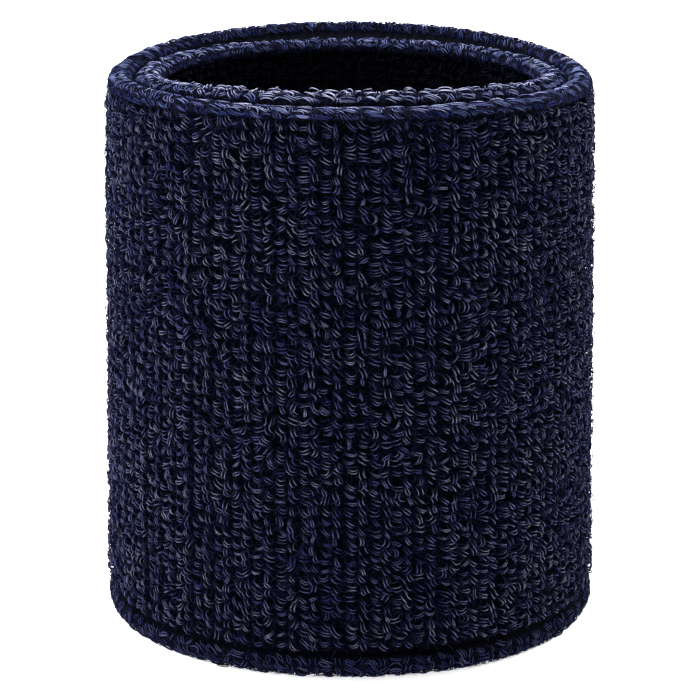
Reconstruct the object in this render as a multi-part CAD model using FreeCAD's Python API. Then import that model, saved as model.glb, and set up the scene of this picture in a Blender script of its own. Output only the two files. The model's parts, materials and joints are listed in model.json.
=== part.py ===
"""Terry sweat wristband: one knitted tube, folded in on itself and closed with a linked seam.

The tube is knitted in the round. Its lower end turns up inside as a short hem, the tube passes round
the bottom fold, climbs as the outer wall, passes round the top fold, and comes down inside as the
lining, whose end is linked to the hem's end. Terry pile stands on the tube's outer side, so it faces
outwards on the outer wall and towards the wrist on the lining. The pile parts over each fold line,
which leaves two rolls of edge pile with a groove between them at each end of the band. Elastic yarn
is laid on the back of the knit, in the space between the two layers.

Frame: millimetres, +Z up along the band's axis, origin at the middle of the bottom edge, where the
band stands on its end.
"""

import FreeCAD
import Part

import math
import os

# Overall sizes
band_height = 77.0          # end to end, over the edge pile
outer_radius = 33.0         # over the pile of the outer wall

# The fabric's thicknesses
outer_pile_height = 2.4     # terry loops on the outer wall
knit_thickness = 1.1        # the ground knit that carries the loops
lining_pile_height = 2.2    # terry loops against the wrist
pile_corner = 0.7           # rounding where a wall's pile ends

# The turned edges
bottom_roll_height = 3.4    # the rolls that the band stands on
top_roll_height = 2.0       # the rolls at the other end, drawn tighter
roll_corner = 1.0           # rounding of a roll's cross-section
edge_inset = 0.35           # how far the rolls stay inside the pile's two faces
fold_groove_width = 0.9     # between the two rolls of one end, along the fold line
fold_line_depth = 1.3       # from the rolls' flat tops down to the knit at the fold line
edge_groove_width = 0.8     # bare knit between a roll and the wall's pile

# The closing seam
seam_height = 12.0          # the seam line above the bottom edge
seam_joint_gap = 0.3        # between the two linked edges of knit
seam_pile_gap = 1.2         # bare knit along the seam, between the two piles
stitch_diameter = 0.4
stitch_length = 2.0         # tip to tip, across the seam
stitch_count = 92
stitch_slant = 35.0         # degrees from upright, alternating left and right

# The elastic yarns
yarn_diameter = 0.5         # covered elastic laid in the walls
yarn_separation = 0.16      # between the two layers' laid-in yarns
yarn_pitch = 4.0            # rise of the laid-in yarn per turn
yarn_end_margin = 1.2       # the yarn stops this far from the end of its wall
edge_elastic_diameter = 0.8  # heavier elastic behind each edge groove
laid_clearance = 0.02       # between an elastic or a stitch and the knit that it lies on

# Radii of the layers
layer_gap = 2 * (yarn_diameter + laid_clearance) + yarn_separation
outer_knit_face = outer_radius - outer_pile_height
outer_knit_back = outer_knit_face - knit_thickness
lining_knit_back = outer_knit_back - layer_gap
lining_knit_face = lining_knit_back - knit_thickness
bore_radius = lining_knit_face - lining_pile_height

# Each fold is a half ring of knit about the middle of the wall
fold_radius = (outer_knit_face + lining_knit_face) / 2
fold_outside = (outer_knit_face - lining_knit_face) / 2
fold_inside = layer_gap / 2
fold_centre = fold_line_depth + fold_outside          # distance in from the end of the band

# Heights of the outer and lining pile's ends
pile_bottom = bottom_roll_height + edge_groove_width
pile_top = band_height - top_roll_height - edge_groove_width

axis_point = FreeCAD.Vector(0, 0, 0)
axis_direction = FreeCAD.Vector(0, 0, 1)
section_normal = FreeCAD.Vector(0, 1, 0)


def at(radius, height):
    """A point of the cross-section, which lies in the XZ plane."""
    return FreeCAD.Vector(radius, 0, height)


def revolved(face):
    """The ring that a cross-section sweeps about the band's axis."""
    return face.revolve(axis_point, axis_direction, 360)


def section(corners):
    """A face whose corners, given as (radius, height, rounding), are all right angles."""
    points = [at(radius, height) for radius, height, rounding in corners]
    tangents = []
    for i, point in enumerate(points):
        back = (points[i - 1] - point).normalize() * corners[i][2]
        ahead = (points[(i + 1) % len(points)] - point).normalize() * corners[i][2]
        middle = point + (back + ahead) * (1 - math.sqrt(0.5))
        tangents.append((point + back, middle, point + ahead))
    edges = []
    for i, (start, middle, end) in enumerate(tangents):
        if corners[i][2]:
            edges.append(Part.Arc(start, middle, end).toShape())
        edges.append(Part.makeLine(end, tangents[(i + 1) % len(points)][0]))
    return Part.Face(Part.Wire(edges))


def rectangle(r_low, r_high, z_low, z_high, rounding=0):
    return section([(r_low, z_low, rounding), (r_high, z_low, rounding),
                    (r_high, z_high, rounding), (r_low, z_high, rounding)])


def disc(radius, height, size):
    circle = Part.Circle(at(radius, height), section_normal, size)
    return Part.Face(Part.Wire([circle.toShape()]))


def flipped(face):
    """A cross-section of the bottom end, turned over to the top end."""
    return face.mirror(at(0, band_height / 2), axis_direction)


def knit_wall(r_back, r_face, z_low, z_high):
    """A plain tube of ground knit."""
    return revolved(rectangle(min(r_back, r_face), max(r_back, r_face), z_low, z_high))


def pile_wall(r_knit, r_tips, z_low, z_high):
    """Pile standing on a wall: a tube with both corners at its tips rounded."""
    return revolved(section([(r_knit, z_low, 0), (r_tips, z_low, pile_corner),
                             (r_tips, z_high, pile_corner), (r_knit, z_high, 0)]))


def fold_section():
    """The bottom fold: half a ring of knit that opens upwards."""
    ring = disc(fold_radius, fold_centre, fold_outside).cut(disc(fold_radius, fold_centre, fold_inside))
    lower_half = rectangle(lining_knit_face, outer_knit_face, 0, fold_centre)
    return ring.common(lower_half)


def edge_roll_section(r_low, r_high, height):
    """A roll of edge pile at the bottom, shaped to the fold and the wall that it stands on."""
    rounding = min(roll_corner, 0.45 * height, 0.45 * (r_high - r_low))
    roll = rectangle(r_low, r_high, 0, height, rounding)
    knit = disc(fold_radius, fold_centre, fold_outside)
    walls = rectangle(lining_knit_face, outer_knit_face, fold_centre, band_height / 2)
    return roll.cut(knit).cut(walls)


def helix_yarn(radius, z_low, z_high):
    """Laid-in elastic: a round yarn that climbs in a helix between two heights."""
    path = Part.makeHelix(yarn_pitch, z_high - z_low, radius)
    path.translate(FreeCAD.Vector(0, 0, z_low))
    start = FreeCAD.Vector(radius, 0, z_low)
    heading = FreeCAD.Vector(0, 2 * math.pi * radius, yarn_pitch)
    section = Part.Wire([Part.Circle(start, heading, yarn_diameter / 2).toShape()])
    return Part.Wire(path.Edges).makePipeShell([section], True, True)


def edge_elastic(height):
    """A closed ring of heavier elastic on the back of the outer wall's knit."""
    thickness = edge_elastic_diameter / 2
    return revolved(disc(outer_knit_back - laid_clearance - thickness, height, thickness))


def edge_elastic_depth(roll_height):
    """How far in from its end the ring lies: behind the groove, but never up in the fold."""
    return max(roll_height + edge_groove_width / 2, fold_centre)


def stitch(angle, slant):
    """One stitch of linking thread: a round-ended bar across the seam, on the back of the lining."""
    thickness = stitch_diameter / 2
    straight = stitch_length - stitch_diameter
    bar = Part.makeCylinder(thickness, straight, at(0, -straight / 2))
    for end in (-1, 1):
        bar = bar.fuse(Part.makeSphere(thickness, at(0, end * straight / 2)))
    bar.rotate(axis_point, FreeCAD.Vector(1, 0, 0), slant)
    # A slanted bar stays straight while the knit curves, so it stands out by its own sagitta.
    half_span = straight / 2 * math.sin(math.radians(abs(slant)))
    seat = math.hypot(lining_knit_back, half_span) + laid_clearance + thickness
    bar.translate(at(seat, seam_height))
    bar.rotate(axis_point, axis_direction, angle)
    return bar


def seam_stitches():
    step = 360.0 / stitch_count
    return Part.makeCompound([stitch(i * step, stitch_slant * (-1) ** i) for i in range(stitch_count)])


def ground_knit():
    """The tube's ground fabric, zone by zone."""
    top = band_height - fold_centre
    seam_edge = seam_joint_gap / 2
    bottom_fold = fold_section()
    return {
        "outer_ground_knit": knit_wall(outer_knit_back, outer_knit_face, fold_centre, top),
        "lining_ground_knit": knit_wall(lining_knit_back, lining_knit_face, seam_height + seam_edge, top),
        "hem_ground_knit": knit_wall(lining_knit_back, lining_knit_face,
                                     fold_centre, seam_height - seam_edge),
        "bottom_fold_knit": revolved(bottom_fold),
        "top_fold_knit": revolved(flipped(bottom_fold)),
    }


def wall_pile():
    """The terry loops on the three walls."""
    seam_edge = seam_pile_gap / 2
    return {
        "outer_terry_pile": pile_wall(outer_knit_face, outer_radius, pile_bottom, pile_top),
        "lining_terry_pile": pile_wall(lining_knit_face, bore_radius, seam_height + seam_edge, pile_top),
        "hem_terry_pile": pile_wall(lining_knit_face, bore_radius, pile_bottom, seam_height - seam_edge),
    }


def edge_pile():
    """The rolls of edge pile, one each side of the fold line at each end."""
    fold_groove = fold_groove_width / 2
    sides = {"outer": (fold_radius + fold_groove, outer_radius - edge_inset),
             "inner": (bore_radius + edge_inset, fold_radius - fold_groove)}
    parts = {}
    for side, (r_low, r_high) in sides.items():
        bottom = edge_roll_section(r_low, r_high, bottom_roll_height)
        top = edge_roll_section(r_low, r_high, top_roll_height)
        parts[f"bottom_{side}_edge_pile"] = revolved(bottom)
        parts[f"top_{side}_edge_pile"] = revolved(flipped(top))
    return parts


def elastic_yarns():
    """The laid-in yarn of each wall and the heavier elastic behind each outer groove."""
    outer_seat = outer_knit_back - laid_clearance - yarn_diameter / 2
    lining_seat = lining_knit_back + laid_clearance + yarn_diameter / 2
    low = pile_bottom + yarn_end_margin
    high = pile_top - yarn_end_margin
    past_seam = stitch_length / 2 + yarn_end_margin
    return {
        "outer_elastic_yarn": helix_yarn(outer_seat, low, high),
        "lining_elastic_yarn": helix_yarn(lining_seat, seam_height + past_seam, high),
        "hem_elastic_yarn": helix_yarn(lining_seat, low, seam_height - past_seam),
        "bottom_edge_elastic": edge_elastic(edge_elastic_depth(bottom_roll_height)),
        "top_edge_elastic": edge_elastic(band_height - edge_elastic_depth(top_roll_height)),
    }


def main():
    parts = {**ground_knit(), **wall_pile(), **edge_pile(), **elastic_yarns()}
    parts["closing_seam_stitches"] = seam_stitches()
    os.makedirs("parts", exist_ok=True)
    for name, shape in parts.items():
        shape.exportStep(os.path.join("parts", name + ".step"))
        print(f"{name}: {len(shape.Solids)} solid(s), {shape.Volume:.1f} mm3, valid {shape.isValid()}")


main()
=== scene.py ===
"""Looks for a terry sweat wristband: every loop of its pile is modelled as soft yarn on a folded knit.

The knit is one tube folded in on itself. A loop stands at each crossing of a wale, which runs along the
tube, with a course, which runs round it. The loops of neighbouring wales lie two ways, which gives the
wall its columns. At each end of the band they fan out into two rolls, one each side of the fold line.

Everything is in metres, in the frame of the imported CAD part. The band's front faces -Y.
"""

import json
import math
from dataclasses import dataclass

import bpy
import numpy as np
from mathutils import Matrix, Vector

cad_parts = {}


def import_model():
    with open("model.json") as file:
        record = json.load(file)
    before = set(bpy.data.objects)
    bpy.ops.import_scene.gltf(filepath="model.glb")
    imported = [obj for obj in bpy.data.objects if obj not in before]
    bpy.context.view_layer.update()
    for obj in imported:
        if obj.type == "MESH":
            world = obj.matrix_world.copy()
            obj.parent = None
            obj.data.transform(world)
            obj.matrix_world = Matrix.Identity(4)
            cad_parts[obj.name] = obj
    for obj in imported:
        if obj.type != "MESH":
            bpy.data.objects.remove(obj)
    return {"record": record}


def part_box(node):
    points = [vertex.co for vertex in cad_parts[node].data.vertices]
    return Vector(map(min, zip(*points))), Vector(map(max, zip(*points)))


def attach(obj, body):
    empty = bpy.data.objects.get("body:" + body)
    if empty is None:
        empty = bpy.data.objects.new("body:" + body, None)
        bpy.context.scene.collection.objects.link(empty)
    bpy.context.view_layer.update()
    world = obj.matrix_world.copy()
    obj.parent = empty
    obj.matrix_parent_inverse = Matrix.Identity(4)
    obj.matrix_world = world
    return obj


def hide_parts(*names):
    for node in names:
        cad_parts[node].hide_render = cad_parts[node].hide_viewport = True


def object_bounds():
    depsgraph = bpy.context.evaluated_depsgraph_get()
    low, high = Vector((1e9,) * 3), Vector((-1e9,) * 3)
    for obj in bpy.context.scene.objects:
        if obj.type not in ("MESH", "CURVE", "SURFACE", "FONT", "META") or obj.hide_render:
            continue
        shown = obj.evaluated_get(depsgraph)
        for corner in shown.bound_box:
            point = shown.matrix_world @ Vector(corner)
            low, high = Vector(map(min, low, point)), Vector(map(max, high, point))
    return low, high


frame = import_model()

cad_low, cad_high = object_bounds()
MM = 0.001
TAU = 2 * math.pi
UP = np.array([0.0, 0.0, 1.0])


# Sizes, read from the frame

def top_of(node):
    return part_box(node)[1].z


def bottom_of(node):
    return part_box(node)[0].z


def radius_of(node):
    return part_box(node)[1].x


mounts = {m["name"]: m for m in frame["record"]["mounts"]}
HEIGHT = cad_high.z
TIP_RADIUS = radius_of("outer_terry_pile")
BORE_RADIUS = mounts["wrist_opening"]["dims"]["r_mm"] * MM
OUTER_FACE = radius_of("outer_ground_knit")
LINING_FACE = radius_of("lining_terry_pile")
KNIT = radius_of("lining_ground_knit") - LINING_FACE
FOLD_RADIUS = (OUTER_FACE + LINING_FACE) / 2
FOLD_SIZE = (OUTER_FACE - LINING_FACE) / 2
FOLD_DEPTH = HEIGHT - bottom_of("top_fold_knit")
SEAM = (top_of("hem_ground_knit") + bottom_of("lining_ground_knit")) / 2
PILE_BOTTOM = bottom_of("outer_terry_pile")
PILE_TOP = top_of("outer_terry_pile")
ROLL_OUTER = radius_of("top_outer_edge_pile")
BOTTOM_ROLL = top_of("bottom_outer_edge_pile")

# Where the soft shapes part from the CAD part's
ROLL_TO_FOLD = (BORE_RADIUS + TIP_RADIUS - 2 * FOLD_RADIUS) / 2     # a roll stops this far from the fold line
ROLL_WIDTH = ROLL_OUTER - FOLD_RADIUS - ROLL_TO_FOLD
SEAM_GAP = 0.15 * MM        # from the seam's middle to the knit's edge
OUTER_PILE_TOP = PILE_TOP + 1.0 * MM    # the outer wall's loops climb on, to meet the roll

# The yarns inside, as in the CAD part
LAID_IN = 0.5 * MM
LAID_IN_PITCH = 4.0 * MM
STITCH = 0.4 * MM
STITCHES = 92
STITCH_SLANT = 35           # degrees from upright

# The knit's count
WALES = 136
COURSE = 1.33 * MM          # height of one course on the walls

# How the soft band stands: changes of its radius and height
WIDER_TOP = 0.35 * MM
WIDER_FOOT = 1.30 * MM
SHOULDER = 0.30 * MM        # the outer side of the top is drawn in again
SIDE_SAG = 1.0 * MM         # the top edge sags towards the sides
SIDE_SAG_SKEW = 0.2 * MM    # more of it at +X
TURN_SAG = 0.45 * MM        # and once more just at the sides
TURN_SAG_SKEW = 0.1 * MM    # more of it at -X
FOOT_LIFT = 0.6 * MM        # the foot is drawn up at the front and the sides

# The yarn
STRAND = 0.100 * MM         # radius of one strand of a wall's loop
ROLL_STRAND = 0.78 * STRAND
FOOT = 0.25                 # a loop's feet, as a share of half its width
INWARD_SHADE = 0.70               # how much lower, and so darker, the yarn's inward side counts: painted shade

# A loop from foot to foot: across it, as shares of half its width, and out along it, as shares of its
# height. A roll's loops are more open than a wall's.
ACROSS = np.array([-FOOT, -0.70, -1.0, -0.90, -0.48, 0.0, 0.48, 0.90, 1.0, 0.70, FOOT])
OPEN_ACROSS = np.array([-0.75, -0.95, -1.0, -0.84, -0.46, 0.0, 0.46, 0.84, 1.0, 0.95, 0.75])
OUTWARD = np.array([0.0, 0.36, 0.66, 0.86, 0.97, 1.0, 0.97, 0.86, 0.66, 0.36, 0.0])

# A wall's loops, as (of the even wales, which lie round the band, of the odd wales, which stand up)
LOOP_TURN = (-9, -56)       # degrees from level
ODD_ONES = (0.10, 0.16)     # the share that lies another way
LOOP_WIDTH = (1.45, 1.40)   # in millimetres
STRAND_GAP = (0.38, 0.46)   # between a loop's strands, in millimetres
LEAN = (0.25, 0.0)          # sideways, for each unit outwards
DROOP = 0.10                # downwards, for each unit outwards

# A roll's loops
TIPS = 0.92                 # the tips lie this far out in the roll's section


@dataclass
class Roll:
    """The pile of one edge roll."""
    name: str
    top: bool               # at the band's top or bottom
    outer: bool             # outside the fold line or inside it
    seed: int
    fan: tuple              # degrees that its loops fan over: 0 is away from the fold, 90 over the crest
    core: float             # half width of the knit's bulge inside it, as a share of the roll's
    rows: int
    strands: int
    stray: float            # spread of the loops' directions, in radians
    stand: float            # how far a loop's crown stands over the crest, in millimetres
    widths: tuple           # of a lying and an upright loop, in millimetres
    gap: float              # between a loop's strands, in millimetres
    light: float            # its yarn's mean tint, which carries painted light, before the painted shade over the roll darkens it and it is clipped to 0..1
    upright: float          # the share of the upright loops that are there
    haze: int               # how many stray fibres lie over it
    haze_tints: tuple

    @property
    def side(self):
        return 1.0 if self.outer else -1.0

    @property
    def end(self):
        return 1.0 if self.top else -1.0


ROLLS = [
    # The top rolls' light is painted light from above
    Roll("top_outer_edge", top=True, outer=True, seed=43, fan=(-18, 178), core=0.79, rows=4, strands=3,
         stray=0.36, stand=0.18, widths=(2.4, 1.3), gap=0.38, light=0.64, upright=0.7,
         haze=5000, haze_tints=(0.0, 0.5)),
    Roll("top_inner_edge", top=True, outer=False, seed=42, fan=(-25, 165), core=0.79, rows=4, strands=3,
         stray=0.50, stand=0.60, widths=(1.9, 1.1), gap=0.40, light=1.08, upright=0.9,
         haze=5000, haze_tints=(0.0, 0.5)),
    # The bottom rolls face down: their low light is painted shade
    Roll("bottom_outer_edge", top=False, outer=True, seed=41, fan=(-50, 150), core=0.82, rows=5, strands=3,
         stray=0.40, stand=0.0, widths=(1.5, 1.3), gap=0.32, light=0.18, upright=1.0,
         haze=4000, haze_tints=(0.0, 0.4)),
    Roll("bottom_inner_edge", top=False, outer=False, seed=40, fan=(-50, 150), core=0.82, rows=5, strands=2,
         stray=0.40, stand=0.0, widths=(1.2, 1.2), gap=0.32, light=0.15, upright=1.0,
         haze=4000, haze_tints=(0.0, 0.4)),
]


# Vectors and smooth changes

def unit(v):
    return v / np.maximum(np.linalg.norm(v, axis=-1, keepdims=True), 1e-12)


def smooth(x):
    x = np.clip(x, 0, 1)
    return x * x * (3 - 2 * x)


def around(angle, radius, z):
    """Points at an angle about the band's axis, at a radius and a height."""
    return np.stack([radius * np.cos(angle), radius * np.sin(angle), z + 0 * angle], -1)


def front_of(angle):
    """1 at the band's front, 0 at its sides and -1 at its back."""
    return -np.sin(angle)


def waves(angle, height, seed, wide, tall):
    """A smooth random field over the wall, about -1 to 1, with features so many wales wide and courses
    tall."""
    own = np.random.default_rng(seed)
    total = np.zeros(np.broadcast(angle, height).shape)
    count = 14
    for _ in range(count):
        turns = own.normal(0, WALES / wide / 2)
        rate = own.normal(0, TAU / (tall * COURSE) / 2)
        total = total + np.sin(round(turns) * angle + rate * height + own.uniform(0, TAU))
    return total / math.sqrt(count / 2)


def settle(points):
    """The soft band as it stands: wider towards its foot, its top edge lower at the sides, and its foot
    drawn up a little."""
    x, y, z = np.moveaxis(points, -1, 0)
    radius = np.maximum(np.hypot(x, y), 1e-9)
    across = x / radius
    front = np.clip(-y / radius, 0, 1)
    height = z / HEIGHT
    shoulder = smooth((height - 0.95) / 0.05) * smooth((radius - FOLD_RADIUS) / (TIP_RADIUS - FOLD_RADIUS))
    wider = WIDER_TOP + (WIDER_FOOT - WIDER_TOP) * (1 - height) - SHOULDER * shoulder
    side_sag = (SIDE_SAG + SIDE_SAG_SKEW * across) * across ** 2
    turn_sag = (TURN_SAG - TURN_SAG_SKEW * across) * across ** 6
    sag = smooth((height - 0.5) / 0.5) * (side_sag + turn_sag)
    lift = smooth((0.3 - height) / 0.3) * FOOT_LIFT * (front ** 4 + across ** 4)
    stretch = 1 + wider / radius
    return np.stack([x * stretch, y * stretch, z - sag + lift], -1)


# Yarn

class Yarns:
    """Collects strands, and makes them into one mesh object."""

    def __init__(self, sides=4):
        self.points = []
        self.rises = []
        self.tints = []
        self.sides = sides

    def loop(self, root, tip, crown, beside, tint, radius, curl=0.0, reach=1.0):
        """Strands from root to tip and back. crown is half the loop's width as a vector, beside is how far
        the strand lies beside its loop's middle, curl bends its crown, and reach scales its rise, so that a
        lower strand gets more painted shade."""
        a = ACROSS[None, :, None]
        b = OUTWARD[None, :, None]
        path = root[:, None] * (1 - b) + tip[:, None] * b
        path = path + crown[:, None] * a + beside[:, None] * (0.35 + 0.65 * b)
        path = path + np.broadcast_to(curl, root.shape)[:, None] * (a ** 2 * b)
        self.tube(path, np.repeat(OUTWARD[None] * reach, len(root), 0), tint, radius, unit(tip - root))

    def tube(self, path, rise, tint, radius, out):
        """Closed tubes about paths given as (strand, point, xyz). rise is how far out each point lies, and
        sets painted shade: dark low down, with a painted highlight out at the crown. The side of the yarn
        that faces inwards counts as lower, which paints shade on it."""
        n, k = path.shape[:2]
        ahead = np.empty_like(path)
        ahead[:, 1:-1] = path[:, 2:] - path[:, :-2]
        ahead[:, 0] = path[:, 1] - path[:, 0]
        ahead[:, -1] = path[:, -1] - path[:, -2]
        ahead = unit(ahead)
        flat = unit(np.cross(path[:, k // 2] - path[:, 0], path[:, -1] - path[:, 0]) + 1e-12)
        side = unit(flat[:, None] - (flat[:, None] * ahead).sum(-1, keepdims=True) * ahead)
        other = np.cross(ahead, side)
        turn = np.arange(self.sides) / self.sides * TAU
        ring = side[:, :, None] * np.cos(turn)[:, None] + other[:, :, None] * np.sin(turn)[:, None]
        # Painted shade on the yarn's inward side, away from the loop's tip
        facing = (ring * out[:, None, None]).sum(-1)
        rise = rise[:, :, None] * (1 - INWARD_SHADE * (1 - facing) / 2)
        thickness = np.broadcast_to(radius, (n,))[:, None, None, None]
        corners = k * self.sides
        self.points.append((path[:, :, None] + ring * thickness).reshape(n, corners, 3))
        self.rises.append(rise.reshape(n, corners))
        self.tints.append(np.repeat(tint[:, None], corners, 1))

    def build(self, name, pick=None):
        """One mesh of all the strands, or of those that pick chooses."""
        points = np.concatenate(self.points)
        rises = np.concatenate(self.rises)
        tints = np.concatenate(self.tints)
        if pick is not None:
            keep = pick(points)
            points, rises, tints = points[keep], rises[keep], tints[keep]
        n, sides = len(points), self.sides
        k = points.shape[1] // sides
        ring = np.arange(sides)
        after = (ring + 1) % sides
        step = np.arange(k - 1)[:, None] * sides
        quads = np.stack([step + ring, step + after, step + sides + after, step + sides + ring], -1)
        strand = np.concatenate([quads.reshape(-1), ring[::-1], (k - 1) * sides + ring])
        sizes = np.tile(np.array([4] * ((k - 1) * sides) + [sides] * 2), n)
        corner = (strand[None] + (np.arange(n) * k * sides)[:, None]).reshape(-1)
        mesh = bpy.data.meshes.new(name)
        mesh.vertices.add(n * k * sides)
        places = settle(points.reshape(-1, 3)).reshape(-1)
        mesh.vertices.foreach_set("co", places.astype(np.float32))
        mesh.loops.add(len(corner))
        mesh.loops.foreach_set("vertex_index", corner.astype(np.int32))
        mesh.polygons.add(len(sizes))
        mesh.polygons.foreach_set("loop_start", (np.cumsum(sizes) - sizes).astype(np.int32))
        mesh.polygons.foreach_set("use_smooth", np.ones(len(sizes), bool))
        mesh.update(calc_edges=True)
        for label, values in (("rise", rises), ("tint", tints)):
            layer = mesh.attributes.new(label, "FLOAT", "POINT")
            layer.data.foreach_set("value", values.reshape(-1).astype(np.float32))
        self.lay_out(mesh, corner, rises.reshape(-1), tints.reshape(-1))
        return add_piece(name, mesh)

    def lay_out(self, mesh, corner, rise, tint):
        """The map for baked colour. Yarn of one tint and rise has one colour, so they are its two ways."""
        ring = np.arange(self.sides)
        spread = np.abs(ring - (self.sides - 1) / 2) / self.sides * 0.03
        around_yarn = np.tile(spread, len(tint) // self.sides)
        u = 0.03 + 0.9 * tint + around_yarn
        v = 0.02 + 0.96 * rise
        layer = mesh.uv_layers.new(name="OFBake")
        layer.uv.foreach_set("vector", np.stack([u[corner], v[corner]], -1).reshape(-1).astype(np.float32))


def add_piece(name, mesh):
    piece = bpy.data.objects.new(name, mesh)
    bpy.context.scene.collection.objects.link(piece)
    return piece


def varied(own, count, spread, low, high):
    """Random factors about 1."""
    return (1 + spread * own.normal(size=count)).clip(low, high)


# Pile

def wall_loops(yarns, face, tips, z_low, z_high, seed, strands=2.0, scale=1.0, sunk=0.0):
    """Pile on a straight wall, whose tips point from the face's radius towards the tips' radius. strands is
    the mean number in a loop, and sunk is the share of loops with one more strand low down."""
    own = np.random.default_rng(seed)
    side = math.copysign(1, tips - face)
    courses = int(round((z_high - z_low) / COURSE))
    wale, course = np.meshgrid(np.arange(WALES), np.arange(courses), indexing="ij")
    wale, course = wale.ravel(), course.ravel()
    n = len(wale)
    pitch = TAU / WALES
    lying = wale % 2 == 0

    # Where the loops stand
    angle = wale * pitch
    z = z_low + (course + 0.5) * (z_high - z_low) / courses
    calm = waves(angle, z, seed + 1, wide=9, tall=8)
    spin = waves(angle, z, seed + 2, wide=5, tall=6)
    uneven_wales = 0.12 * np.sin(wale * 2.399 * 3 + 1)
    angle = angle + pitch * (0.10 * own.normal(size=n) + uneven_wales)
    z = z + COURSE * 0.08 * own.normal(size=n)

    # Which way they turn
    twist = np.radians(np.where(lying, *LOOP_TURN)) + 0.28 * own.normal(size=n) + 0.22 * spin
    odd = own.random(n) < np.where(lying, *ODD_ONES) + 0.06 * np.clip(calm, 0, 1)
    turned = -twist + own.normal(0, 0.5, n) + np.where(lying, math.pi / 2, 0)
    twist = np.where(odd, turned, twist)
    out = around(angle, side, 0)
    round_it = np.stack([-np.sin(angle), np.cos(angle), 0 * angle], -1)
    along = round_it * np.cos(twist)[:, None] + UP * np.sin(twist)[:, None]
    square = round_it * -np.sin(twist)[:, None] + UP * np.cos(twist)[:, None]

    # Their sizes. The top courses are shorter, where the wall turns in under the roll.
    tall = abs(tips - face) * (0.95 + 0.045 * own.normal(size=n) + 0.03 * calm).clip(0.6, 1.01)
    tall = tall * (1 - 0.12 * smooth((z - z_high + 3 * MM) / (3 * MM)))
    width = scale * np.where(lying, *LOOP_WIDTH) * MM * varied(own, n, 0.12, 0.6, 1.35)
    fall = DROOP + 0.10 * own.normal(size=n)
    lean = np.where(lying, *LEAN) + 0.10 * own.normal(size=n)
    sunk_root = face - side * 0.2 * MM
    root = around(angle - 0.6 * lean * tall / face, sunk_root, z + tall * DROOP * 0.6)
    point = unit(out - UP * fall[:, None] + round_it * lean[:, None])
    tint = (0.5 + 0.20 * own.normal(size=n) + 0.10 * calm).clip(0, 1)

    # Their strands, side by side
    gap = np.where(lying, *STRAND_GAP)
    many = 1 + (own.random(n) < strands - 1) + (own.random(n) < max(0, strands - 2))
    for i in range(many.max()):
        here = many > i
        m = here.sum()
        place = (i - (many[here] - 1) / 2) * (gap[here] + 0.04 * own.normal(size=m)) * MM
        length = tall[here] * (1 + 0.03 * own.normal(size=m))
        wide = width[here] * (1 - 0.10 * own.random(m))
        skew = own.normal(0, 0.10, m)[:, None] * wide[:, None] * square[here]
        bow = (wide * (0.07 + 0.09 * own.normal(size=m)))[:, None] * square[here]
        beside = square[here] * place[:, None] + 0.5 * skew - 0.4 * bow
        shade = (tint[here] + 0.06 * own.normal(size=m)).clip(0, 1)
        thickness = STRAND * varied(own, m, 0.08, 0.75, 1.3)
        yarns.loop(root[here], root[here] + point[here] * length[:, None], along[here] * wide[:, None] / 2,
                   beside, shade, thickness, curl=skew + bow)

    # More strands low down between them, painted darker as shade by their lower reach
    here = own.random(n) < sunk
    m = here.sum()
    slip = own.choice([-1, 1], m) * own.uniform(0.35, 0.7, m) * MM
    length = tall[here] * own.uniform(0.6, 0.85, m)
    wide = width[here] * own.uniform(0.8, 1.1, m)
    shade = (tint[here] + 0.15 * own.normal(size=m)).clip(0, 1)
    yarns.loop(root[here], root[here] + point[here] * length[:, None], along[here] * wide[:, None] / 2,
               square[here] * slip[:, None], shade, STRAND, reach=0.82)


def ridge(angle, roll):
    """A roll's section at each angle: its middle (radius, height) and its half width and half height. At
    the top, the inner roll stands up at the front and sinks behind the outer one at the back."""
    radius = FOLD_RADIUS + roll.side * (ROLL_OUTER - FOLD_RADIUS - ROLL_WIDTH / 2) + 0 * angle
    half_width = ROLL_WIDTH / 2
    if not roll.top:
        return radius, BOTTOM_ROLL / 2 + 0 * angle, half_width, BOTTOM_ROLL / 2
    front, across = front_of(angle), np.cos(angle)
    if roll.outer:
        lift = -(0.37 + 0.06 * front) * front ** 2 * MM
        half_height = (0.95 - 0.2 * front + 0.25 * across ** 2) * MM
    else:
        lift = (-0.5 + 1.4 * front - 0.4 * front ** 2) * MM
        half_height = 1.0 * MM + 0 * angle
    return radius, HEIGHT - half_height + lift, half_width, half_height


def roll_painted_light(roll, angle, fan):
    """The mean tint of a roll's yarn, with painted light. At the top it keeps a painted highlight over the
    crest, and gets painted shade on the roll's flanks, in the groove towards the fold at the front, and
    towards the band's sides and back."""
    if not roll.top:
        return roll.light
    across, front, back = np.cos(angle), np.clip(front_of(angle), 0, 1), np.clip(-front_of(angle), 0, 1)
    less_across, less_back = (0.18, 0.35) if roll.outer else (0.46, 0.55)
    facing_fold = smooth((np.degrees(fan) - 100) / 60)
    # Painted shade on the flanks and in the groove towards the fold
    light = roll.light - 0.45 * (1 - np.sin(fan)) - 0.24 * facing_fold * front
    return light - (less_across * across ** 2 + less_back * back ** 2)


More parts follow.
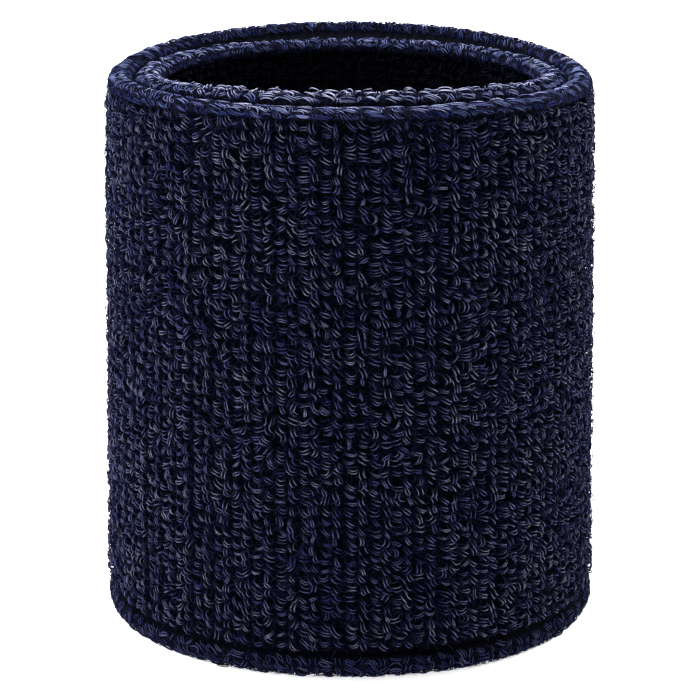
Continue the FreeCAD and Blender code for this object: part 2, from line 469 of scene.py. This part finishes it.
def roll_loops(yarns, roll):
    """Pile of one edge roll: loops that fan out from the knit's bulge and lie along the roll's surface."""
    own = np.random.default_rng(roll.seed)
    wale, row = np.meshgrid(np.arange(WALES), np.arange(roll.rows), indexing="ij")
    wale, row = wale.ravel(), row.ravel()
    n = len(wale)
    lying = wale % 2 == 0

    # Where the loops stand, round the band and over the roll
    angle = (wale + 0.12 * own.normal(size=n)) * TAU / WALES
    across, front, back = np.cos(angle), np.clip(front_of(angle), 0, 1), np.clip(-front_of(angle), 0, 1)
    fan_low, fan_high = roll.fan
    if roll.top:
        fan_low = fan_low + (-20 * across ** 2 if roll.outer else 40 * back ** 2)
    fan = np.radians(fan_low + (fan_high - fan_low) * (row + 0.5) / roll.rows + 5 * own.normal(size=n))

    # Which way they turn, and their sizes. Lying loops slant across the roll, and least at the front.
    slant = np.radians(38 + 32 * (1 - front)) * roll.side * roll.end
    twist = np.where(lying, -slant, math.radians(-80)) + roll.stray * own.normal(size=n)
    swell = TIPS * (1 + 0.12 * roll.stray * own.normal(size=n) + np.where(lying, 0.03, -0.03))
    width = np.where(lying, roll.widths[0] * (0.85 + 0.15 * front), roll.widths[1]) * MM
    width = width * varied(own, n, 0.15, 0.6, 1.4)
    tint = (roll_painted_light(roll, angle, fan) + 0.13 * own.normal(size=n)).clip(0, 1)
    present = lying | (own.random(n) < roll.upright)

    for i in range(roll.strands):
        here = present if i < roll.strands - 1 else present & lying
        m = here.sum()
        place = (i - (roll.strands - 1) / 2) * (roll.gap + 0.08 * own.normal(size=m)) * MM
        bend = (0.16 * own.normal(size=m) * width[here])[:, None] * OPEN_ACROSS ** 2
        along = width[here][:, None] / 2 * OPEN_ACROSS
        beside = place[:, None] + bend
        turn = twist[here][:, None]
        angles = angle[here][:, None] + (along * np.cos(turn) - beside * np.sin(turn)) / FOLD_RADIUS
        centre_r, centre_z, half_width, half_height = ridge(angles, roll)
        fans = fan[here][:, None] + (along * np.sin(turn) + beside * np.cos(turn)) / half_width
        size = swell[here] * (1 + 0.04 * own.normal(size=m))
        depth = roll.core + (size[:, None] - roll.core) * OUTWARD
        over_crest = np.sin(fan[here]).clip(0, 1) * (1 - 0.6 * back[here]) * (1 + 0.25 * own.normal(size=m))
        stand = roll.stand * MM * over_crest[:, None] * OUTWARD
        radius = centre_r + roll.side * np.cos(fans) * half_width * depth
        z = centre_z + roll.end * (np.sin(fans) * half_height * depth + stand)
        path = np.stack([radius * np.cos(angles), radius * np.sin(angles), z], -1)
        out = around(angle[here], roll.side * np.cos(fan[here]), roll.end * np.sin(fan[here]))
        shade = (tint[here] + 0.08 * own.normal(size=m)).clip(0, 1)
        thickness = ROLL_STRAND * varied(own, m, 0.12, 0.7, 1.3)
        # Rise from 0.45 at the roots to 1 at the crowns: painted shade low in the roll, painted highlight at
        # the tips
        yarns.tube(path, np.repeat((0.55 * OUTWARD + 0.45)[None], m, 0), shade, thickness, out)


def fuzz(yarns, where, seed, count, spread, tints, length=(0.35, 1.3), rise_at=0.9, thickness=0.018 * MM,
         sunk=0.0):
    """Fibres that lie across the loops. where gives roots and their outward directions from a random
    generator, spread is how far the fibres stand out, and sunk how deep their roots may lie."""
    own = np.random.default_rng(seed)
    root, out = where(own, count)
    along = unit(np.cross(out, unit(own.normal(size=(count, 3)))))
    root = root - out * (own.uniform(0, 1, count) * sunk)[:, None]
    length = own.uniform(*length, count)[:, None] * MM
    rise = own.uniform(0.2, 1.0, count)[:, None] * spread
    bend = own.normal(0, 0.25, count)[:, None] * np.cross(out, along)
    path = []
    for t in (-0.5, -0.18, 0.18, 0.5):
        bent = length * (t * along + bend * (t * t - 0.08))
        path.append(root + bent + out * rise * (1 - 1.6 * abs(t + 0.1)))
    tint = own.uniform(*tints, count)
    # rise_at sets the fibres' painted shade: high for the haze over the tips, low for the fill below them
    yarns.tube(np.stack(path, 1), np.full((count, 4), rise_at), tint, thickness, out)


def under_fuzz_painted_shade(yarns, where, seed, count, spread, length, sunk):
    """Thicker fibres that fill the pile below its tips, painted dark as shade by low tints and a low rise."""
    fuzz(yarns, where, seed, count, spread, (0.0, 0.3), length, rise_at=0.55, thickness=0.05 * MM, sunk=sunk)


def on_wall(own, count):
    """Places over the outer wall, for the fuzz."""
    angle = own.uniform(0, TAU, count)
    z = own.uniform(PILE_BOTTOM, OUTER_PILE_TOP, count)
    return around(angle, TIP_RADIUS - 0.45 * MM * own.random(count), z), around(angle, 1, 0)


def on_roll(roll):
    """Places over a roll's section, for the fuzz."""
    def where(own, count):
        angle = own.uniform(0, TAU, count)
        fan = np.radians(own.uniform(*roll.fan, count))
        centre_r, centre_z, half_width, half_height = ridge(angle, roll)
        out_r, out_z = roll.side * np.cos(fan), roll.end * np.sin(fan)
        depth = 0.93
        root = around(angle, centre_r + depth * half_width * out_r, centre_z + depth * half_height * out_z)
        return root, around(angle, out_r, out_z)
    return where


def sector(i, count):
    """Picks the strands whose middle lies in the i-th of so many sectors round the band."""
    def pick(points):
        middle = points.mean(1)
        place = (np.arctan2(middle[:, 1], middle[:, 0]) / TAU) % 1.0
        return np.floor(place * count).astype(int) == i
    return pick


# The knit

def knit_path(angle):
    """The folded tube's middle line at one angle, as (radius, height, normal r, normal z, half thickness),
    from the seam down the hem, up the outer wall and back down the lining to the seam."""
    inner, outer = LINING_FACE + KNIT / 2, OUTER_FACE - KNIT / 2
    low, high = FOLD_DEPTH, HEIGHT - FOLD_DEPTH
    rows = [(inner, z, -1.0, 0.0, KNIT / 2) for z in np.linspace(SEAM - SEAM_GAP, low, 8)]
    rows += bulges(angle, top=False)
    rows += [(outer, z, 1.0, 0.0, KNIT / 2) for z in np.linspace(low, high, 24)]
    rows += bulges(angle, top=True)
    rows += [(inner, z, -1.0, 0.0, KNIT / 2) for z in np.linspace(high, SEAM + SEAM_GAP, 24)]
    return np.array(rows)


def bulges(angle, top):
    """The knit over the two rolls of one end, with the fold line pulled in between them."""
    end = 1.0 if top else -1.0
    thin = 0.3 * MM
    fold_height = (HEIGHT if top else 0) - end * (FOLD_DEPTH - FOLD_SIZE + thin)
    pair = [roll for roll in ROLLS if roll.top == top]
    if not top:
        pair.reverse()
    rows = []
    for roll in pair:
        centre_r, centre_z, half_width, half_height = ridge(angle, roll)
        radius = roll.core * half_width - thin
        sweep = np.radians(np.linspace(-60, 160, 11))
        if roll.outer != top:
            sweep = sweep[::-1]
        for a in sweep:
            out_r, out_z = roll.side * math.cos(a), end * math.sin(a)
            height = centre_z + radius * half_height / half_width * out_z
            rows.append((centre_r + radius * out_r, height, out_r, out_z, thin))
        if roll is pair[0]:
            rows.append((FOLD_RADIUS, fold_height - end * thin, 0.0, end, thin))
    return rows


def ground_knit():
    """The knit as one closed cloth, its face ribbed by the wales. Gives the piece and its flat length."""
    steps = WALES * 2
    angle = np.arange(steps) / steps * TAU
    path = np.array([knit_path(a) for a in angle]).transpose(1, 0, 2)
    rib = 0.10 * MM * np.cos(angle * WALES)
    sides = []
    for sign in (1, -1):
        depth = sign * path[:, :, 4] - 0.05 * MM + (rib[None] if sign > 0 else 0)
        r = path[:, :, 0] + path[:, :, 2] * depth
        z = path[:, :, 1] + path[:, :, 3] * depth
        sides.append(np.stack([r * np.cos(angle), r * np.sin(angle), z], -1).reshape(-1, 3))
    n = len(path)
    i = np.arange(n - 1)[:, None] * steps
    j = np.arange(steps)[None]
    after = (j + 1) % steps
    face = np.stack([i + j, i + after, i + steps + after, i + steps + j], -1).reshape(-1, 4)
    back = face[:, ::-1] + n * steps
    first = np.stack([j[0], j[0] + n * steps, after[0] + n * steps, after[0]], -1)
    last = first[:, ::-1] + (n - 1) * steps
    faces = np.concatenate([face, back, first, last]).tolist()
    piece = add_solid("folded_ground_knit", np.concatenate(sides), faces)
    length = float(np.linalg.norm(np.diff(path[:, 0, :2], axis=0), axis=1).sum())
    return piece, length


def add_solid(name, points, faces):
    """A smooth mesh object of settled points."""
    mesh = bpy.data.meshes.new(name)
    mesh.from_pydata(settle(points).tolist(), [], faces)
    mesh.polygons.foreach_set("use_smooth", np.ones(len(mesh.polygons), bool))
    return add_piece(name, mesh)


# Wound yarns

def covered_yarn(name, line, thickness, plies, lay, closed=False):
    """Round yarn along lines given as (yarn, point, xyz), its cover wound on in plies, one turn each lay."""
    count, k = line.shape[:2]
    sides = 4 * plies
    ahead = unit(np.roll(line, -1, 1) - np.roll(line, 1, 1) if closed else np.gradient(line, axis=1))
    radial = line * np.array([1.0, 1.0, 0.0])
    side = unit(radial - (radial * ahead).sum(-1, keepdims=True) * ahead)
    other = np.cross(ahead, side)
    step = np.linalg.norm(np.diff(line, axis=1), axis=-1)
    along = np.concatenate([np.zeros((count, 1)), np.cumsum(step, 1)], 1)
    turn = np.arange(sides) / sides * TAU
    ply_depth = 0.12
    lobe = 1 + ply_depth * np.cos(plies * (turn - along[:, :, None] / lay * TAU))
    ring = side[:, :, None] * np.cos(turn)[:, None] + other[:, :, None] * np.sin(turn)[:, None]
    points = line[:, :, None] + ring * (lobe * thickness / 2 / (1 + ply_depth))[..., None]
    spin = np.arange(sides)
    after = (spin + 1) % sides
    rings = np.arange(k if closed else k - 1)[:, None]
    here, there = rings * sides, (rings + 1) % k * sides
    yarn = np.stack([here + spin, here + after, there + after, there + spin], -1).reshape(-1, 4)
    faces = (yarn[None] + (np.arange(count) * k * sides)[:, None, None]).reshape(-1, 4).tolist()
    if not closed:
        for start in range(0, count * k * sides, k * sides):
            faces.append((start + spin[::-1]).tolist())
            faces.append((start + (k - 1) * sides + spin).tolist())
    return add_solid(name, points.reshape(-1, 3), faces)


def laid_in_elastic(node):
    """A covered elastic that climbs in a helix, in the place of the CAD part's."""
    low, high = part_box(node)
    low_z, high_z = low.z + LAID_IN / 2, high.z - LAID_IN / 2
    turns = (high_z - low_z) / LAID_IN_PITCH
    t = np.linspace(0, 1, int(turns * 90))
    line = around(t * turns * TAU, high.x - LAID_IN / 2, low_z + t * (high_z - low_z))
    return covered_yarn(node.replace("elastic", "covered_elastic"), line[None], LAID_IN, 2, 2.5 * MM)


def edge_elastic(node):
    """A closed ring of heavier elastic, its cover wound round it in a whole number of turns."""
    low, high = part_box(node)
    thickness = high.z - low.z
    radius = high.x - thickness / 2
    angle = np.arange(240) / 240 * TAU
    line = around(angle, radius, (low.z + high.z) / 2)
    lay = TAU * radius / 60
    name = node.replace("elastic", "covered_elastic")
    return covered_yarn(name, line[None], thickness, 2, lay, closed=True)


def seam_stitches(node):
    """The linking stitches, slanting left and right in turn."""
    low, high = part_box(node)
    reach = (high.z - low.z) / 2
    angle = np.arange(STITCHES) / STITCHES * TAU
    lean = reach * math.tan(math.radians(STITCH_SLANT)) * (-1.0) ** np.arange(STITCHES)
    t = np.linspace(-1, 1, 9)
    radius = high.x - STITCH / 2
    line = around(angle[:, None] + lean[:, None] * t / radius, radius, SEAM + t * (reach - STITCH / 2))
    return covered_yarn("seam_thread_stitches", line, STITCH, 2, 1.2 * MM)


# Materials

def new_material(name):
    material = bpy.data.materials.new(name)
    material.use_nodes = True
    nodes = material.node_tree.nodes
    shader = nodes["Principled BSDF"]
    return material, nodes, material.node_tree.links, shader


def ramp(nodes, stops):
    node = nodes.new("ShaderNodeValToRGB")
    elements = node.color_ramp.elements
    while len(elements) < len(stops):
        elements.new(0.5)
    for element, (place, colour) in zip(elements, stops):
        element.position = place
        element.color = (*colour, 1)
    return node


def grey(level):
    return (level, level, level)


def add_bump(nodes, links, shader, height, distance, strength=1.0):
    bump = nodes.new("ShaderNodeBump")
    bump.inputs["Strength"].default_value = strength
    bump.inputs["Distance"].default_value = distance
    links.new(height, bump.inputs["Height"])
    links.new(bump.outputs["Normal"], shader.inputs["Normal"])


def object_noise(nodes, links, scale, detail):
    """Noise at the object's own places."""
    place = nodes.new("ShaderNodeTexCoord")
    noise = nodes.new("ShaderNodeTexNoise")
    noise.inputs["Scale"].default_value = scale
    noise.inputs["Detail"].default_value = detail
    links.new(place.outputs["Object"], noise.inputs["Vector"])
    return noise


def yarn_material(name, root, low, high, bright):
    """Soft yarn, lighter and bluer from loop to loop, with painted shade: near black at a loop's root and low
    in the pile, and a painted highlight at its crown.
    """
    material, nodes, links, shader = new_material(name)
    tint = nodes.new("ShaderNodeAttribute")
    tint.attribute_name = "tint"
    rise = nodes.new("ShaderNodeAttribute")
    rise.attribute_name = "rise"
    shade = ramp(nodes, [(0.0, low), (0.55, high), (1.0, bright)])
    links.new(tint.outputs["Fac"], shade.inputs["Fac"])
    # Painted shade and highlight by rise: the root colour up to 0.45, dim at 0.8, full colour at the crown
    lit = ramp(nodes, [(0.45, grey(0)), (0.80, grey(0.16)), (1.0, grey(1))])
    links.new(rise.outputs["Fac"], lit.inputs["Fac"])
    mix = nodes.new("ShaderNodeMix")
    mix.data_type = "RGBA"
    mix.inputs["A"].default_value = (*root, 1)
    links.new(lit.outputs["Color"], mix.inputs["Factor"])
    links.new(shade.outputs["Color"], mix.inputs["B"])
    links.new(mix.outputs["Result"], shader.inputs["Base Color"])
    fibre = object_noise(nodes, links, 9000, 2)
    add_bump(nodes, links, shader, fibre.outputs["Fac"], 0.04 * MM, 0.35)
    rough = nodes.new("ShaderNodeMapRange")
    rough.inputs["To Min"].default_value = 0.55
    rough.inputs["To Max"].default_value = 0.85
    links.new(fibre.outputs["Fac"], rough.inputs["Value"])
    links.new(rough.outputs["Result"], shader.inputs["Roughness"])
    shader.inputs["Specular IOR Level"].default_value = 0.02
    shader.inputs["Sheen Weight"].default_value = 0.02
    shader.inputs["Sheen Roughness"].default_value = 0.35
    shader.inputs["Sheen Tint"].default_value = (0.45, 0.55, 1.0, 1)
    return material


def knit_material_painted_shade():
    """The ground: jersey painted near black as the shade under the pile, uneven from stitch to stitch."""
    material, nodes, links, shader = new_material("ground_knit")
    noise = object_noise(nodes, links, 900, 4)
    colour = ramp(nodes, [(0.3, (0.0003, 0.0003, 0.001)), (0.7, (0.0012, 0.0013, 0.004))])
    links.new(noise.outputs["Fac"], colour.inputs["Fac"])
    links.new(colour.outputs["Color"], shader.inputs["Base Color"])
    add_bump(nodes, links, shader, noise.outputs["Fac"], 0.1 * MM, 0.6)
    shader.inputs["Roughness"].default_value = 0.95
    shader.inputs["Specular IOR Level"].default_value = 0.03
    return material


def wound_material(name, dark, light, scale):
    """Smooth wound or plied yarn with a fine banded pattern."""
    material, nodes, links, shader = new_material(name)
    place = nodes.new("ShaderNodeTexCoord")
    wave = nodes.new("ShaderNodeTexWave")
    wave.inputs["Scale"].default_value = scale
    wave.inputs["Distortion"].default_value = 1.5
    links.new(place.outputs["Object"], wave.inputs["Vector"])
    colour = ramp(nodes, [(0.2, dark), (0.8, light)])
    links.new(wave.outputs["Fac"], colour.inputs["Fac"])
    links.new(colour.outputs["Color"], shader.inputs["Base Color"])
    add_bump(nodes, links, shader, wave.outputs["Fac"], 0.05 * MM)
    shader.inputs["Roughness"].default_value = 0.7
    return material


# Building the band

def finish(piece, material, slot, *nodes):
    """Gives a piece its material and its body, and the CAD nodes that it stands for. slot is not used."""
    piece.data.materials.append(material)
    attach(piece, "root")
    if nodes:
        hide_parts(*nodes)


def finish_loops(yarns, name, count, material, *nodes):
    """Makes a zone of pile, whole or in so many sectors, so that no mesh gets too large."""
    pieces = []
    for i in range(count):
        label = name if count == 1 else f"{name}_{i + 1:02d}"
        piece = yarns.build(label, sector(i, count) if count > 1 else None)
        finish(piece, material, "terry_pile", *nodes)
        pieces.append(piece)
    return pieces


def wall_pile(wall_yarn, lining_yarn_painted_shade):
    """The loops of the three walls."""
    outer = Yarns()
    wall_loops(outer, OUTER_FACE, TIP_RADIUS, PILE_BOTTOM, OUTER_PILE_TOP, seed=10, strands=2.05, sunk=0.45)
    pieces = finish_loops(outer, "outer_loops", 9, wall_yarn, "outer_terry_pile")
    lining = Yarns()
    low = bottom_of("lining_terry_pile")
    wall_loops(lining, LINING_FACE, BORE_RADIUS, low, PILE_TOP, seed=20, scale=0.85)
    pieces += finish_loops(lining, "lining_loops", 6, lining_yarn_painted_shade, "lining_terry_pile")
    hem = Yarns()
    high = top_of("hem_terry_pile")
    wall_loops(hem, LINING_FACE, BORE_RADIUS, PILE_BOTTOM, high, seed=30, scale=0.85)
    return pieces + finish_loops(hem, "hem_loops", 1, lining_yarn_painted_shade, "hem_terry_pile")


def edge_pile(wall_yarn, edge_yarn):
    """The loops of the four rolls."""
    pieces = []
    for roll in ROLLS:
        yarns = Yarns()
        roll_loops(yarns, roll)
        material = edge_yarn if roll.top else wall_yarn
        pieces += finish_loops(yarns, f"{roll.name}_loops", 1, material, f"{roll.name}_pile")
    return pieces


def loose_fibres(wall_yarn):
    """Stray fibres over the wall and the rolls, and ones below them painted dark as shade."""
    haze = Yarns(sides=3)
    fuzz(haze, on_wall, 50, 14000, 0.28 * MM, (0.1, 0.6))
    under_fuzz_painted_shade(haze, on_wall, 60, 16000, 0.30 * MM, length=(1.0, 2.4), sunk=0.9 * MM)
    for i, roll in enumerate(ROLLS):
        fuzz(haze, on_roll(roll), 51 + i, roll.haze, 0.30 * MM, roll.haze_tints)
        under_fuzz_painted_shade(haze, on_roll(roll), 61 + i, 3000, 0.05 * MM, length=(0.8, 1.8), sunk=0.35 * MM)
    return finish_loops(haze, "loose_fibres", 8, wall_yarn)


def inner_yarns():
    """The elastics and the seam's thread."""
    elastic = wound_material("elastic_yarn", (0.010, 0.011, 0.030), (0.030, 0.033, 0.080), 3000)
    thread = wound_material("seam_thread", (0.015, 0.017, 0.045), (0.050, 0.055, 0.120), 4000)
    for node in ("outer_elastic_yarn", "lining_elastic_yarn", "hem_elastic_yarn"):
        finish(laid_in_elastic(node), elastic, "elastic_yarn", node)
    for node in ("top_edge_elastic", "bottom_edge_elastic"):
        finish(edge_elastic(node), elastic, "elastic_yarn", node)
    node = "closing_seam_stitches"
    finish(seam_stitches(node), thread, "seam_thread", node)


def band():
    # root is the painted shade low in the pile
    wall_yarn = yarn_material("terry_yarn", root=(0.0008, 0.0013, 0.0090), low=(0.0190, 0.0240, 0.092),
                              high=(0.076, 0.080, 0.158), bright=(0.148, 0.148, 0.220))
    # The top rolls' yarn has lighter colours: a painted highlight from the light above
    edge_yarn = yarn_material("edge_yarn_painted_highlight", root=(0.0006, 0.0014, 0.0150), low=(0.010, 0.018, 0.090),
                              high=(0.125, 0.150, 0.320), bright=(0.480, 0.510, 0.740))
    # The lining's yarn is the same yarn, painted dark as the shade inside the band
    lining_yarn_painted_shade = yarn_material("lining_yarn_painted_shade", root=(0.0001, 0.0001, 0.0005), low=(0.003, 0.0036, 0.011),
                                high=(0.007, 0.0085, 0.025), bright=(0.014, 0.017, 0.046))
    loops = wall_pile(wall_yarn, lining_yarn_painted_shade) + edge_pile(wall_yarn, edge_yarn) + loose_fibres(wall_yarn)
    knit, length = ground_knit()
    finish(knit, knit_material_painted_shade(), "ground_knit", "outer_ground_knit", "lining_ground_knit",
           "hem_ground_knit", "top_fold_knit", "bottom_fold_knit")
    inner_yarns()


# The studio

def area_light(name, place, size, power):
    """A soft box that faces the band's middle."""
    data = bpy.data.lights.new(name, "AREA")
    data.shape = "RECTANGLE"
    data.size, data.size_y = size
    data.energy = power
    light = bpy.data.objects.new(name, data)
    light.location = place
    aim = Vector((0, 0, HEIGHT / 2)) - Vector(place)
    light.rotation_euler = aim.to_track_quat("-Z", "Y").to_euler()
    bpy.context.scene.collection.objects.link(light)


def floor():
    """A pale floor. It glows, so that it looks about as bright as the background."""
    reach = 6.0
    corners = [(-reach, -reach, 0), (reach, -reach, 0), (reach, reach, 0), (-reach, reach, 0)]
    mesh = bpy.data.meshes.new("floor")
    mesh.from_pydata(corners, [], [(0, 1, 2, 3)])
    piece = add_piece("floor", mesh)
    piece.location.z = -0.1 * MM
    material, nodes, links, shader = new_material("pale_floor")
    shader.inputs["Base Color"].default_value = (0.93, 0.93, 0.93, 1)
    shader.inputs["Emission Color"].default_value = (1, 1, 1, 1)
    shader.inputs["Emission Strength"].default_value = 0.77
    shader.inputs["Roughness"].default_value = 0.9
    mesh.materials.append(material)


def world():
    """White to the camera, and dimmer as a light."""
    made = bpy.data.worlds.new("studio")
    made.use_nodes = True
    nodes, links = made.node_tree.nodes, made.node_tree.links
    background = nodes["Background"]
    path = nodes.new("ShaderNodeLightPath")
    mix = nodes.new("ShaderNodeMix")
    mix.inputs["A"].default_value = 0.25
    mix.inputs["B"].default_value = 1.0
    links.new(path.outputs["Is Camera Ray"], mix.inputs["Factor"])
    links.new(mix.outputs["Result"], background.inputs["Strength"])
    background.inputs["Color"].default_value = (1, 1, 1, 1)
    bpy.context.scene.world = made


def camera():
    """The camera stands before the band, a little above it, and looks at its middle."""
    distance, tilt = 0.450, math.radians(15.6)
    data = bpy.data.cameras.new("camera")
    data.sensor_width = 36
    data.lens = 167.2
    data.shift_y = -0.0228
    data.clip_start = 0.01
    piece = bpy.data.objects.new("camera", data)
    middle = Vector((0, 0, HEIGHT / 2))
    piece.location = middle + distance * Vector((0, -math.cos(tilt), math.sin(tilt)))
    piece.rotation_euler = (middle - piece.location).to_track_quat("-Z", "Y").to_euler()
    bpy.context.scene.collection.objects.link(piece)
    bpy.context.scene.camera = piece


def studio():
    floor()
    world()
    camera()
    area_light("left_softbox", (-0.62, -0.12, 0.22), size=(0.4, 0.7), power=10)
    area_light("right_softbox", (0.58, 0.16, 0.25), size=(0.4, 0.7), power=9)
    area_light("top_softbox", (-0.1, 0.22, 0.75), size=(0.6, 0.5), power=20)
    area_light("front_fill", (-0.15, -0.9, 0.45), size=(0.5, 0.4), power=3)
    bpy.context.scene.view_settings.view_transform = "Standard"


band()
studio()
